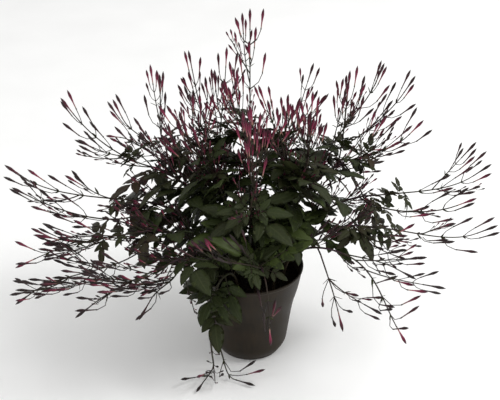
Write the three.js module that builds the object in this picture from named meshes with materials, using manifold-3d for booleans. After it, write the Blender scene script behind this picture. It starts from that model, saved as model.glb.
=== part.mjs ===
// Pink jasmine (Jasminum polyanthum) in its nursery pot, in millimetres, +Z up.
// The origin is the middle of the pot's flat foot. Leafy stems stand in plain holes in the soil and arch out
// on all sides; each carries opposite compound leaves and the flower sprays that are seated on it.

import * as THREE from "three";
import { mergeVertices } from "three/addons/utils/BufferGeometryUtils.js";
import Module from "manifold-3d";

const wasm = await Module();
wasm.setup();

// ---- Driving dimensions ----

const FOOT_R = 37; // flat foot of the pot
const CHAMFER_R = 44.5; // top of the chamfer round the foot
const CHAMFER_Z = 12;
const WALL_R = 52; // top of the plain wall, below the flare
const WALL_Z = 66;
const FLARE_R = 58.5; // middle of the flare
const FLARE_Z = 88;
const RIM_R = 64;
const POT_H = 116;
const POT_WALL = 1.8;
const POT_BASE = 2.5;
const POT_SIDES = 20;
const DRAIN_R = 3.5; // drainage holes, a ring of them away from the middle
const DRAIN_RING_R = 24;
const DRAINS = 5;
const SOIL_Z = 98; // soil surface, below the rim
const HOLE_DEPTH = 18; // plain holes that the stems stand in
const HOLE_PLAY = 0.7; // between a stem and its hole, on the radius
const SEAT_GAP = 0.4; // between pieces that touch
const END_GAP = 0.75; // between a stem's cut end and the spray that carries it on
const CLEARANCE = 0.3; // least gap between two nodes
const LYING_Z = 10; // a spray whose end is lower than this lies along the surface
const LEAST_Z = 1; // nothing but the pot reaches lower

const STEM_BASE_R = 1.8;
const STEM_TIP_R = 1.1;
const STEM_RISE = 3; // straight stretch above the soil
const STEM_STEPS = 6;
const AXIS_BASE_R = 0.95; // main stalk of a spray
const AXIS_TIP_R = 0.75;
const AXIS_STEPS = 4;
const ROOT_R = 0.38; // side stalk of one bud, where it is rooted in the main stalk
const BUD_LENGTH = 26; // tube and swollen bud together
const BUD_R = 1.75;
const TUBE_R = 0.75;

const BLADE_THICKNESS = 0.9;
const RACHIS_HALF = 0.9;
const PETIOLE_HALF = 0.55; // where the leaf is rooted in the stem
const LEAFLET_SWEEP = THREE.MathUtils.degToRad(58);
const LEAFLET = { length: 27, half: 7.2, shoulder: 0.4 };
const END_LEAFLET = { length: 38, half: 10, shoulder: 0.38 };
const PAIR_STEP = 17; // along the rachis
const FIRST_PAIR = 16;
const LEAF_LOW = 118; // leaves stay above this, clear of the rim

// The leafy stems. root: where the stem leaves the soil. tip: where its wood ends and its end spray begins.
// lift: how high it climbs before it arches over, by way of over where that is given. leaves: pairs of leaves,
// and the stretch of the stem that they grow on. low: the height that they stay above, if not LEAF_LOW.
// sprays: place along the stem, and where the point of the end bud is.
const STEMS = [
  { name: "left", root: [-40, 4], tip: [-138, 6, 200], lift: 62, leaves: [4, 0.25, 0.9],
    sprays: [[1, [-281, 0, 250]], [0.8, [-272, -20, 232]]] },
  { name: "left_high", root: [-34, 20], tip: [-122, 50, 222], lift: 80, leaves: [4, 0.3, 0.9],
    sprays: [[1, [-221, 60, 307]], [0.82, [-164, 92, 290]]] },
  { name: "left_low", root: [-38, -15], tip: [-128, -44, 186], lift: 55, leaves: [4, 0.22, 0.9], low: 140,
    sprays: [[1, [-267, -70, 155]], [0.84, [-264, -104, 128]], [0.7, [-240, -40, 168]]] },
  { name: "front_left", root: [-30, -30], tip: [-92, -86, 170], lift: 48, leaves: [3, 0.25, 0.8], low: 140,
    sprays: [[1, [-192, -140, 135]], [0.84, [-122, -138, 131]]] },
  { name: "trailing", root: [-14, -42], tip: [-44, -58, 14], lift: 62, leaves: [4, 0.24, 0.72], low: 60,
    over: [-58, -96, 154], sprays: [[1, [-63, -104, 4]], [0.88, [6, -92, 4]]] },
  { name: "front", root: [6, -41], tip: [16, -96, 160], lift: 54, leaves: [3, 0.15, 0.65], low: 150,
    sprays: [[1, [24, -100, 68]], [0.78, [-64, -125, 226]]] },
  { name: "front_right", root: [28, -32], tip: [104, -86, 184], lift: 58, leaves: [1, 0.12, 0.12], low: 140,
    sprays: [[1, [178, -112, 79]], [0.88, [185, -102, 161]], [0.74, [103, -138, 115]]] },
  { name: "right_low", root: [40, -13], tip: [138, -34, 188], lift: 55, leaves: [3, 0.3, 0.85], low: 145,
    sprays: [[1, [283, -42, 195]], [0.84, [170, -92, 208]]] },
  { name: "right", root: [42, 6], tip: [146, 14, 202], lift: 64, leaves: [4, 0.28, 0.9],
    sprays: [[1, [282, 22, 240]], [0.88, [263, -6, 210]]] },
  { name: "right_high", root: [35, 24], tip: [124, 56, 228], lift: 80, leaves: [4, 0.3, 0.88],
    sprays: [[1, [203, 50, 283]], [0.84, [117, 80, 333]]] },
  { name: "back_right", root: [25, 35], tip: [108, 104, 216], lift: 72, leaves: [3, 0.25, 0.75],
    sprays: [[1, [200, 122, 307]], [0.86, [160, 108, 330]], [0.72, [172, 152, 190]]] },
  { name: "back", root: [8, 42], tip: [38, 128, 206], lift: 66, leaves: [3, 0.25, 0.75],
    sprays: [[1, [85, 165, 268]], [0.84, [58, 222, 178]]] },
  { name: "back_left", root: [-12, 41], tip: [-45, 120, 214], lift: 70, leaves: [3, 0.25, 0.75],
    sprays: [[1, [-75, 150, 328]], [0.86, [-28, 142, 336]], [0.72, [-72, 215, 190]]] },
  { name: "left_back", root: [-26, 34], tip: [-94, 86, 220], lift: 72, leaves: [3, 0.28, 0.8],
    sprays: [[1, [-113, 130, 311]], [0.82, [-182, 148, 212]]] },
  { name: "crown", root: [0, 16], tip: [0, 54, 264], lift: 95, leaves: [4, 0.2, 0.85],
    sprays: [[1, [0, 80, 410]], [0.88, [-20, 62, 345]]] },
  { name: "crown_left", root: [-16, 4], tip: [-52, 14, 236], lift: 80, leaves: [4, 0.2, 0.88],
    sprays: [[1, [-58, 40, 322]], [0.84, [-84, 12, 300]]] },
  { name: "crown_right", root: [17, 4], tip: [56, 6, 232], lift: 80, leaves: [5, 0.2, 0.95],
    sprays: [[1, [70, 40, 300]], [0.84, [30, 8, 320]]] },
  { name: "crown_front", root: [0, -16], tip: [0, -46, 214], lift: 72, leaves: [4, 0.15, 0.9], low: 140,
    sprays: [[1, [16, -32, 314]]] },
  { name: "heart", root: [22, -14], tip: [50, -40, 188], lift: 66, leaves: [3, 0.3, 0.85], low: 145,
    sprays: [] },
];

const UP = new THREE.Vector3(0, 0, 1);

// ---- Seeded draws ----

const SEED_STEM = 7919;
const SEED_ITEM = 131;

// A repeatable stream of numbers from 0 to 1.
function draws(seed) {
  let state = seed >>> 0;
  return () => {
    state = (state + 0x6d2b79f5) >>> 0;
    let mixed = Math.imul(state ^ (state >>> 15), state | 1) >>> 0;
    mixed = ((mixed + Math.imul(mixed ^ (mixed >>> 7), mixed | 61)) ^ mixed) >>> 0;
    return ((mixed ^ (mixed >>> 14)) >>> 0) / 4294967296;
  };
}

// A number from low to high, from the next draw.
const between = (draw, low, high) => low + (high - low) * draw();

// ---- Paths ----

// A curve as the straight steps that its rod is made of, so that what grows from the rod is rooted in it.
function pathOf(curve, steps) {
  const points = curve.getPoints(steps);
  const at = (along) => {
    const step = Math.min(Math.floor(along * steps), steps - 1);
    const tangent = points[step + 1].clone().sub(points[step]).normalize();
    return { start: points[step].clone().lerp(points[step + 1], along * steps - step), tangent };
  };
  return { points, at, length: curve.getLength() };
}

// ---- Closed geometry ----

function geometryOf(positions, indices) {
  const geometry = new THREE.BufferGeometry();
  geometry.setAttribute("position", new THREE.Float32BufferAttribute(positions, 3));
  geometry.setIndex(indices);
  return geometry;
}

// A tapered rod: a polygon ring at each point, square to the path, with its own radius.
// A last radius of 0 ends the rod in a point.
function taper(points, radii, sides) {
  const positions = [];
  const indices = [];
  const turn = new THREE.Quaternion();
  let heading = UP;
  points.forEach((point, i) => {
    const after = points[i + 1] ?? point;
    const before = points[i - 1] ?? point;
    const ahead = after.clone().sub(before).normalize();
    turn.premultiply(new THREE.Quaternion().setFromUnitVectors(heading, ahead));
    heading = ahead;
    const corners = radii[i] > 0 ? sides : 1;
    for (let k = 0; k < corners; k++) {
      const angle = (2 * Math.PI * k) / sides;
      const corner = new THREE.Vector3(Math.cos(angle), Math.sin(angle), 0);
      corner.multiplyScalar(radii[i]).applyQuaternion(turn).add(point);
      positions.push(corner.x, corner.y, corner.z);
    }
  });
  const rings = points.length;
  for (let i = 0; i + 1 < rings; i++) {
    for (let k = 0; k < sides; k++) {
      const a = i * sides + k;
      const b = i * sides + ((k + 1) % sides);
      if (radii[i + 1] > 0) {
        indices.push(a, b, a + sides, b, b + sides, a + sides);
      } else {
        indices.push(a, b, (i + 1) * sides);
      }
    }
  }
  for (let k = 1; k + 1 < sides; k++) {
    indices.push(0, k + 1, k);
    if (radii[rings - 1] > 0) {
      const end = (rings - 1) * sides;
      indices.push(end, end + k, end + k + 1);
    }
  }
  return geometryOf(positions, indices);
}

// A thin blade: a flat outline bent over by the height function, alike on both faces.
function blade(outline, height, thickness) {
  const count = outline.length;
  const positions = [];
  for (const side of [0, 1]) {
    outline.forEach(({ x, y }) => positions.push(x, y, height(x, y) - side * thickness));
  }
  const indices = [];
  for (const [a, b, c] of THREE.ShapeUtils.triangulateShape(outline, [])) {
    indices.push(a, b, c, a + count, c + count, b + count);
  }
  for (let i = 0; i < count; i++) {
    const next = (i + 1) % count;
    indices.push(i, i + count, next + count, i, next + count, next);
  }
  return geometryOf(positions, indices);
}

// ---- Solids that join and cut ----

function solidOf(geometry) {
  const bare = new THREE.BufferGeometry();
  bare.setAttribute("position", geometry.getAttribute("position"));
  bare.setIndex(geometry.index);
  const merged = mergeVertices(bare, 1e-4);
  const mesh = new wasm.Mesh({
    numProp: 3,
    vertProperties: new Float32Array(merged.attributes.position.array),
    triVerts: new Uint32Array(merged.index.array),
  });
  return new wasm.Manifold(mesh);
}

function joined(solids) {
  return solids.reduce((whole, solid) => whole.add(solid));
}

function meshOf(name, solid, material) {
  const made = solid.getMesh();
  const mesh = new THREE.Mesh(geometryOf(made.vertProperties, [...made.triVerts]), material);
  mesh.name = name;
  return mesh;
}

// Every solid placed so far, with its node and its box, so that the next one can be kept clear of it.
const placed = [];

// What this solid would touch: the surface that the pot stands on, or the first placed solid of another node.
// Leaves keep clear of their own stem's other leaves too, but for the one that they share a pair with.
function touched(node, solid, pair) {
  const box = solid.boundingBox();
  if (box.min[2] < LEAST_Z) return { node: "surface" };
  return placed.find((other) => {
    const apart = [0, 1, 2].some(
      (axis) =>
        other.box.min[axis] > box.max[axis] + CLEARANCE ||
        other.box.max[axis] < box.min[axis] - CLEARANCE,
    );
    const leaves = pair !== undefined && other.pair !== undefined;
    const own = other.node === node && !(leaves && other.pair !== pair);
    return !own && !apart && other.solid.minGap(solid, CLEARANCE) < CLEARANCE;
  });
}

function keep(node, solid, pair) {
  placed.push({ node, pair, solid, box: solid.boundingBox() });
}

function solidsOf(node) {
  return placed.filter((entry) => entry.node === node).map((entry) => entry.solid);
}

// ---- Pot and soil ----

function turned(profile) {
  const points = profile.map(([radius, z]) => new THREE.Vector2(radius, z));
  return solidOf(new THREE.LatheGeometry(points, POT_SIDES).rotateX(Math.PI / 2));
}

function upright(radius, height, sides, x, y, z) {
  const rod = new THREE.CylinderGeometry(radius, radius, height, sides).rotateX(Math.PI / 2);
  return solidOf(rod.translate(x, y, z + height / 2));
}

// Radius of the pot's wall near its base plate.
function footRadius(z) {
  return FOOT_R + ((CHAMFER_R - FOOT_R) * z) / CHAMFER_Z;
}

function pot() {
  let body = turned([
    [0, 0],
    [FOOT_R, 0],
    [CHAMFER_R, CHAMFER_Z],
    [WALL_R, WALL_Z],
    [FLARE_R, FLARE_Z],
    [RIM_R, POT_H],
    [RIM_R - POT_WALL, POT_H],
    [FLARE_R - POT_WALL, FLARE_Z],
    [WALL_R - POT_WALL, WALL_Z],
    [CHAMFER_R - POT_WALL, CHAMFER_Z],
    [footRadius(POT_BASE) - POT_WALL, POT_BASE],
    [0, POT_BASE],
  ]);
  for (let i = 0; i < DRAINS; i++) {
    const angle = (2 * Math.PI * (i + 0.5)) / DRAINS;
    const x = DRAIN_RING_R * Math.cos(angle);
    const y = DRAIN_RING_R * Math.sin(angle);
    body = body.subtract(upright(DRAIN_R, 3 * POT_BASE, 8, x, y, -POT_BASE));
  }
  return body;
}

function soil() {
  const inset = POT_WALL + SEAT_GAP;
  const bottom = POT_BASE + SEAT_GAP;
  const filled = (SOIL_Z - FLARE_Z) / (POT_H - FLARE_Z);
  let plug = turned([
    [0, bottom],
    [footRadius(bottom) - inset, bottom],
    [CHAMFER_R - inset, CHAMFER_Z],
    [WALL_R - inset, WALL_Z],
    [FLARE_R - inset, FLARE_Z],
    [THREE.MathUtils.lerp(FLARE_R, RIM_R, filled) - inset, SOIL_Z],
    [0, SOIL_Z],
  ]);
  for (const { root } of STEMS) {
    const hole = upright(STEM_BASE_R + HOLE_PLAY, 2 * HOLE_DEPTH, 6, root[0], root[1], SOIL_Z - HOLE_DEPTH);
    plug = plug.subtract(hole);
  }
  return plug;
}

// ---- Leafy stems ----

// From the soil straight up, then over in one arch to the tip.
function stemPath({ root, tip, lift, over }) {
  const foot = new THREE.Vector3(root[0], root[1], SOIL_Z + STEM_RISE);
  const end = new THREE.Vector3(...tip);
  const climb = foot.clone().addScaledVector(UP, lift);
  const reach = end.clone().sub(foot).setZ(0);
  const arch = end.clone().addScaledVector(reach, -0.4);
  arch.z = THREE.MathUtils.lerp(climb.z, end.z, 0.75) + 0.12 * reach.length();
  if (over) arch.set(...over);
  return pathOf(new THREE.CubicBezierCurve3(foot, climb, arch, end), STEM_STEPS);
}

function stemRadius(t) {
  return THREE.MathUtils.lerp(STEM_BASE_R, STEM_TIP_R, t);
}

function stem(row) {
  const { points } = row.path;
  const radii = points.map((_, i) => stemRadius(i / STEM_STEPS));
  const foot = new THREE.Vector3(row.root[0], row.root[1], SOIL_Z - HOLE_DEPTH + SEAT_GAP);
  return solidOf(taper([foot, ...points], [STEM_BASE_R, ...radii], 4));
}

// Half of a compound leaf's outline, from the petiole to the end leaflet's point, on the right of the rachis.
function halfOutline(pairs, size) {
  const along = new THREE.Vector2(Math.cos(LEAFLET_SWEEP), -Math.sin(LEAFLET_SWEEP));
  const across = new THREE.Vector2(Math.sin(LEAFLET_SWEEP), Math.cos(LEAFLET_SWEEP));
  const points = [new THREE.Vector2(0, -PETIOLE_HALF)];
  for (let i = 0; i < pairs; i++) {
    const base = new THREE.Vector2((FIRST_PAIR + i * PAIR_STEP) * size, -RACHIS_HALF);
    const middle = base.clone().addScaledVector(along, LEAFLET.shoulder * LEAFLET.length * size);
    points.push(new THREE.Vector2(base.x - 0.4 * PAIR_STEP * size, base.y));
    points.push(middle.clone().addScaledVector(across, -LEAFLET.half * size));
    points.push(base.clone().addScaledVector(along, LEAFLET.length * size));
    points.push(middle.clone().addScaledVector(across, LEAFLET.half * size));
  }
  const end = (FIRST_PAIR + (pairs - 0.5) * PAIR_STEP) * size;
  points.push(new THREE.Vector2(end, -RACHIS_HALF));
  points.push(
    new THREE.Vector2(end + END_LEAFLET.shoulder * END_LEAFLET.length * size, -END_LEAFLET.half * size),
  );
  return { points, reach: end + END_LEAFLET.length * size };
}

// A compound leaf in its own frame: the rachis runs along +X and the blade arches down to its point.
function leafBlade(pairs, size, droop) {
  const { points, reach } = halfOutline(pairs, size);
  const mirrored = points.map((p) => new THREE.Vector2(p.x, -p.y)).reverse();
  const outline = [...points, new THREE.Vector2(reach, 0), ...mirrored];
  const height = (x, y) => -droop * (x / reach) ** 2 * reach - 0.008 * y * y;
  return blade(outline, height, BLADE_THICKNESS);
}

const LEAF_TRIES = 30;

// One leaf of a pair. Its place turns by a seeded draw until it is clear of every other node.
function leaf(row, index, item) {
  const pair = Math.floor(item / 2);
  const side = item % 2 ? 1 : -1;
  const [pairs, from, to] = row.leaves;
  const along = THREE.MathUtils.lerp(from, to, pair / Math.max(pairs - 1, 1));
  const { start, tangent } = row.path.at(along);
  const level = tangent.clone().cross(UP).normalize();
  for (let turn = 0; turn < LEAF_TRIES; turn++) {
    const draw = draws(SEED_STEM * index + SEED_ITEM * item + turn);
    const swing = between(draw, -0.7, 0.7) + (pair % 2 ? 0.5 : -0.3);
    const radial = level.clone().multiplyScalar(side).applyAxisAngle(tangent, side * swing);
    const ahead = radial.addScaledVector(tangent, between(draw, 0.2, 0.8));
    ahead.z += between(draw, -0.5, 0.2);
    ahead.normalize();
    const facing = UP.clone().addScaledVector(row.outward, between(draw, 0.1, 1));
    const across = facing.cross(ahead).normalize();
    const face = ahead.clone().cross(across);
    const size = between(draw, 0.82, 1.12) * (turn > 5 ? 0.85 : 1);
    const leafletPairs = draw() < 0.3 ? 2 : 1;
    const geometry = leafBlade(leafletPairs, size, between(draw, 0.15, 0.5));
    geometry.applyMatrix4(new THREE.Matrix4().makeBasis(ahead, across, face).setPosition(start));
    const solid = solidOf(geometry);
    const high = solid.boundingBox().min[2] > (row.low ?? LEAF_LOW);
    if (high && !touched(row.node, solid, pair)) return solid;
  }
  return null;
}

// ---- Flower sprays ----

// The spray's main stalk leaves the stem, or carries on from its end, and turns up to its end bud's point.
function sprayPath(row, [along, tip]) {
  const { start, tangent } = row.path.at(along);
  const point = new THREE.Vector3(...tip);
  const leaving = tangent.clone();
  if (along < 1) {
    const side = point.clone().sub(start);
    side.addScaledVector(tangent, -side.dot(tangent)).normalize();
    start.addScaledVector(side, stemRadius(along) + SEAT_GAP + 0.7 * AXIS_BASE_R);
    leaving.multiplyScalar(0.5).add(side).normalize();
  } else {
    start.addScaledVector(tangent, END_GAP);
  }
  const span = point.distanceTo(start);
  const arrival = point.clone().sub(start).normalize();
  arrival.z += point.z > start.z ? 0.45 : -0.2;
  if (point.z < LYING_Z) arrival.z = 0;
  arrival.normalize();
  const end = point.clone().addScaledVector(arrival, -BUD_LENGTH);
  const out = start.clone().addScaledVector(leaving, 0.3 * span);
  const back = end.clone().addScaledVector(arrival, -0.25 * span);
  return pathOf(new THREE.CubicBezierCurve3(start, out, back, end), AXIS_STEPS);
}

// Main stalk and end bud, in one rod.
function sprayStalk({ points }, tip) {
  const radii = points.map((_, i) => THREE.MathUtils.lerp(AXIS_BASE_R, AXIS_TIP_R, i / AXIS_STEPS));
  const point = new THREE.Vector3(...tip);
  const swell = points.at(-1).clone().lerp(point, 0.72);
  return solidOf(taper([...points, swell, point], [...radii, BUD_R, 0], 3));
}

const BUD_TRIES = 10;
const NODE_STEP = 28; // between opposite pairs of buds, along the main stalk
const BUDS_FROM = 0.3;
const BUDS_TO = 0.96;

// One side bud on its stalk: out from the main stalk, then up along it, or outwards where that hangs down.
function sideBud(node, path, seed, item, count) {
  const pair = Math.floor(item / 2);
  const along = THREE.MathUtils.lerp(BUDS_FROM, BUDS_TO, (pair + 0.5) / count);
  const { start, tangent } = path.at(along);
  const level = tangent.clone().cross(UP).normalize();
  for (let turn = 0; turn < BUD_TRIES; turn++) {
    const draw = draws(seed + SEED_ITEM * item + turn);
    const around = Math.PI * (item % 2) + (pair % 2 ? 1.25 : 0) + between(draw, -0.55, 0.55);
    const radial = level.clone().applyAxisAngle(tangent, around);
    const stalk = between(draw, 14, 23) + 14 * (1 - along) * draw();
    const out = tangent.clone().addScaledVector(radial, between(draw, 0.6, 1)).normalize();
    const ahead = tangent.clone().addScaledVector(radial, between(draw, 0.12, 0.42));
    ahead.z += 0.3 - Math.min(tangent.z, 0);
    ahead.normalize();
    const neck = start.clone().addScaledVector(out, stalk);
    const swell = neck.clone().addScaledVector(ahead, 0.72 * BUD_LENGTH);
    const point = neck.clone().addScaledVector(ahead, BUD_LENGTH);
    const solid = solidOf(taper([start, neck, swell, point], [ROOT_R, TUBE_R, BUD_R, 0], 3));
    if (!touched(node, solid)) return solid;
  }
  return null;
}

// ---- Assembly ----

const potMaterial = new THREE.MeshStandardMaterial({ color: 0x39342c, roughness: 0.55, metalness: 0 });
const soilMaterial = new THREE.MeshStandardMaterial({ color: 0x241c15, roughness: 1, metalness: 0 });
const leafMaterial = new THREE.MeshStandardMaterial({ color: 0x33402a, roughness: 0.6, metalness: 0 });
const budMaterial = new THREE.MeshStandardMaterial({ color: 0x8a2a45, roughness: 0.55, metalness: 0 });

const plant = new THREE.Group();

function add(node, material) {
  plant.add(meshOf(node, joined(solidsOf(node)), material));
}

keep("pot", pot());
keep("soil", soil());

// The way that a stem leans out from its root, level.
function outwardOf({ root, tip }) {
  return new THREE.Vector3(tip[0] - root[0], tip[1] - root[1], 0).normalize();
}

const rows = STEMS.map((row) => {
  return { ...row, node: "stem_" + row.name, path: stemPath(row), outward: outwardOf(row) };
});
for (const row of rows) {
  keep(row.node, stem(row));
}

const sprays = rows.flatMap((row) =>
  row.sprays.map((spray, i) => {
    const node = "spray_" + row.name + "_" + (i + 1);
    return { node, tip: spray[1], path: sprayPath(row, spray) };
  }),
);
for (const { node, tip, path } of sprays) {
  const solid = sprayStalk(path, tip);
  const other = touched(node, solid);
  if (other) throw new Error(node + " touches " + other.node);
  keep(node, solid);
}

sprays.forEach(({ node, path }, i) => {
  const count = Math.max(2, Math.round((path.length * (BUDS_TO - BUDS_FROM)) / NODE_STEP));
  for (let item = 0; item < 2 * count; item++) {
    const solid = sideBud(node, path, SEED_STEM * (i + rows.length), item, count);
    if (solid) keep(node, solid);
  }
});

rows.forEach((row, index) => {
  for (let item = 0; item < 2 * row.leaves[0]; item++) {
    const solid = leaf(row, index, item);
    if (solid) keep(row.node, solid, Math.floor(item / 2));
  }
});

add("pot", potMaterial);
add("soil", soilMaterial);
for (const { node } of rows) {
  add(node, leafMaterial);
}
for (const { node } of sprays) {
  add(node, budMaterial);
}

export default plant;
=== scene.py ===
import math

import bpy
import numpy as np
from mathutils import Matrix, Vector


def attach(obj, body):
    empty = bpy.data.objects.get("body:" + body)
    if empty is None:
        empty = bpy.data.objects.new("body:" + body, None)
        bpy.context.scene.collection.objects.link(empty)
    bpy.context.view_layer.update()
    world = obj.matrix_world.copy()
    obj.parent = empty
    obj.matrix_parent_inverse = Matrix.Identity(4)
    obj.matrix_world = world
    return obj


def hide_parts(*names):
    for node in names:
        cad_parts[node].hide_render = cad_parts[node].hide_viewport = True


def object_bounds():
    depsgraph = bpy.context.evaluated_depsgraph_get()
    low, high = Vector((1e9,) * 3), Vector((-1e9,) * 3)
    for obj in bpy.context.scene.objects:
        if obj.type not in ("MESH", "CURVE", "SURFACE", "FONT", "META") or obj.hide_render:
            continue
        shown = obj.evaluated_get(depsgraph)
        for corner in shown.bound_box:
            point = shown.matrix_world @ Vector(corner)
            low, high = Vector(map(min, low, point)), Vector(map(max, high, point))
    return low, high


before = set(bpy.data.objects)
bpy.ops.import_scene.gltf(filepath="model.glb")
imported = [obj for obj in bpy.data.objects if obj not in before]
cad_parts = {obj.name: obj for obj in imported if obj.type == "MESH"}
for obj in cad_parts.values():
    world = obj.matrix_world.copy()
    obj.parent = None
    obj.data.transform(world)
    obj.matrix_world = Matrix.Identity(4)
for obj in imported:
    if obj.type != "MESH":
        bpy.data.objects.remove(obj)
cad_low, cad_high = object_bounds()

# ---- Camera ----
# It looks down at the plant from the front, as someone at a potting bench does. The view is long and narrow,
# so the pot's sides stay nearly upright.

camera_distance = 1.5
camera_pitch = math.radians(30)
camera_target_height = 0.204
view_width = 0.5825  # metres across, at the target

lens = bpy.data.cameras.new("camera")
lens.lens = lens.sensor_width * camera_distance / view_width
camera = bpy.data.objects.new("camera", lens)
camera.location = (
    0,
    -camera_distance * math.cos(camera_pitch),
    camera_target_height + camera_distance * math.sin(camera_pitch),
)
camera.rotation_euler = (math.pi / 2 - camera_pitch, 0, 0)
bpy.context.collection.objects.link(camera)
bpy.context.scene.camera = camera

# ---- Studio floor and light ----
# A wide sheet of pale matt paper under a white tent: one broad lamp above and to the right, one weaker from
# the left, and even light from all round.

mm = 0.001
floor_half = 6.0  # of the paper's width, in metres
tent_strength = 0.7
# Name, place in metres, power in watts and side in metres of each lamp. They look at the middle of the plant.
lamps = (
    ("key_lamp", (1.5, -0.1, 1.9), 34.0, 1.0),
    ("fill_lamp", (-1.4, -1.2, 1.3), 7.5, 1.2),
)
lamp_target = np.array([0, 0, 0.2])


def linear_colour(code):
    """A hex sRGB colour as linear light: c / 12.92 up to 0.04045, and ((c + 0.055) / 1.055) ** 2.4 above."""
    value = np.array([int(code[i : i + 2], 16) for i in (1, 3, 5)]) / 255
    linear = np.where(value <= 0.04045, value / 12.92, ((value + 0.055) / 1.055) ** 2.4)
    return (*linear.tolist(), 1.0)


def cells(size):
    """A pattern's scale from the real size of its cells in millimetres: how many of them lie in a metre."""
    return 1 / (size * mm)


def add_node(tree, kind, settings=(), inputs=(), stops=()):
    """Adds a node with its settings, its sockets' values or the sockets that feed them, and a ramp's
    stops."""
    node = tree.nodes.new("ShaderNode" + kind)
    for name, value in dict(settings).items():
        setattr(node, name, value)
    for name, value in dict(inputs).items():
        if isinstance(value, bpy.types.NodeSocket):
            tree.links.new(value, node.inputs[name])
        else:
            node.inputs[name].default_value = value
    for i, (place, code) in enumerate(stops):
        point = node.color_ramp.elements[i] if i < 2 else node.color_ramp.elements.new(place)
        point.position = place
        point.color = linear_colour(code)
    return node


def new_material(name, specular):
    """An empty material: its node tree and its principled shader, which is already wired to the output."""
    material = bpy.data.materials.new(name)
    material.use_nodes = True
    tree = material.node_tree
    tree.nodes.clear()
    shader = tree.nodes.new("ShaderNodeBsdfPrincipled")
    shader.inputs["Specular IOR Level"].default_value = specular
    output = tree.nodes.new("ShaderNodeOutputMaterial")
    tree.links.new(shader.outputs["BSDF"], output.inputs["Surface"])
    return material, tree, shader


def matt_paper():
    """Backdrop paper: nearly white, fully rough, with a faint mottle a hand wide."""
    material, tree, shader = new_material("matt_paper", 0.1)
    place = add_node(tree, "TexCoord")
    mottle = add_node(
        tree, "TexNoise", inputs={"Vector": place.outputs["Object"], "Scale": cells(125), "Detail": 2.0}
    )
    colour = add_node(
        tree, "ValToRGB", inputs={"Fac": mottle.outputs["Fac"]}, stops=[(0.3, "#f8f8f7"), (0.7, "#fcfcfb")]
    )
    tree.links.new(colour.outputs["Color"], shader.inputs["Base Color"])
    shader.inputs["Roughness"].default_value = 1.0
    return material


floor_corners = [(x * floor_half, y * floor_half, 0) for x, y in ((-1, -1), (1, -1), (1, 1), (-1, 1))]
floor_mesh = bpy.data.meshes.new("floor")
floor_mesh.from_pydata(floor_corners, [], [(0, 1, 2, 3)])
floor_mesh.materials.append(matt_paper())
floor = bpy.data.objects.new("floor", floor_mesh)
bpy.context.collection.objects.link(floor)

tent = bpy.data.worlds.new("tent")
tent.use_nodes = True
tent.node_tree.nodes["Background"].inputs["Color"].default_value = linear_colour("#ffffff")
tent.node_tree.nodes["Background"].inputs["Strength"].default_value = tent_strength
bpy.context.scene.world = tent
bpy.context.scene.view_settings.view_transform = "Standard"

for lamp_name, place, power, side in lamps:
    light = bpy.data.lights.new(lamp_name, "AREA")
    light.size = side
    light.energy = power
    lamp = bpy.data.objects.new(lamp_name, light)
    lamp.location = place
    aim = lamp_target - np.array(place)
    lamp.rotation_euler = (
        math.atan2(math.hypot(aim[0], aim[1]), -aim[2]),
        0,
        math.atan2(aim[1], aim[0]) - math.pi / 2,
    )
    bpy.context.collection.objects.link(lamp)

# ---- Nursery pot ----
# One thin injection-moulded polypropylene shell, dark taupe brown: flat foot, chamfer, and a plain tapered
# wall that flares a little more near the top. Its lip is rolled outwards. The drainage holes ring the middle.

pot_height = 116.0
wall_thickness = 1.8
base_thickness = 2.5
lip_radius = 64.0
lip_depth = 2.8
pot_sides = 96
corner_steps = 7
drain_count = 5
drain_ring = 24.0  # radius of the ring that the holes lie on
drain_radius = 3.5
drain_sides = 24
drain_span = (-3.0, 6.0)  # heights between which the holes are cut
# Radius, height and rounding of each corner in millimetres. The wall's own corners come twice: up the outside
# and, after the lip, down the inside.
wall_corners = np.array([(44.5, 12, 6), (52, 66, 16), (58.5, 88, 16)])
foot_corners = np.array([(0, 1.2, 0), (30, 1.2, 1), (31.5, 0, 1), (37, 0, 2)])
lip_corners = np.array([
    (63, 112, 1),
    (lip_radius, pot_height - lip_depth, 1),
    (lip_radius, pot_height, 0.7),
    (lip_radius - wall_thickness, pot_height, 0.7),
])
inner_wall = wall_corners[::-1] - (wall_thickness, 0, 0)
inner_base = np.array([(36.7, base_thickness, 2), (0, base_thickness, 0)])
pot_corners = np.vstack([foot_corners, wall_corners, lip_corners, inner_wall, inner_base])


def rounded(corners, reach, steps):
    """A line whose inner corners become arcs (1-t)^2 a + 2(1-t)t c + t^2 b. a and b lie on the corner's legs,
    as far from it as reach says."""
    corner, before, after = corners[1:-1], corners[:-2], corners[2:]
    reach = reach[1:-1, None]
    back, ahead = before - corner, after - corner
    back_length = np.linalg.norm(back, axis=1, keepdims=True)
    ahead_length = np.linalg.norm(ahead, axis=1, keepdims=True)
    a = corner + back / back_length * np.minimum(reach, back_length / 2.2)
    b = corner + ahead / ahead_length * np.minimum(reach, ahead_length / 2.2)
    t = np.linspace(0, 1, steps)[None, :, None]
    arcs = (1 - t) ** 2 * a[:, None] + 2 * (1 - t) * t * corner[:, None] + t**2 * b[:, None]
    return np.vstack([corners[:1], arcs.reshape(-1, corners.shape[1]), corners[-1:]])


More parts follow.
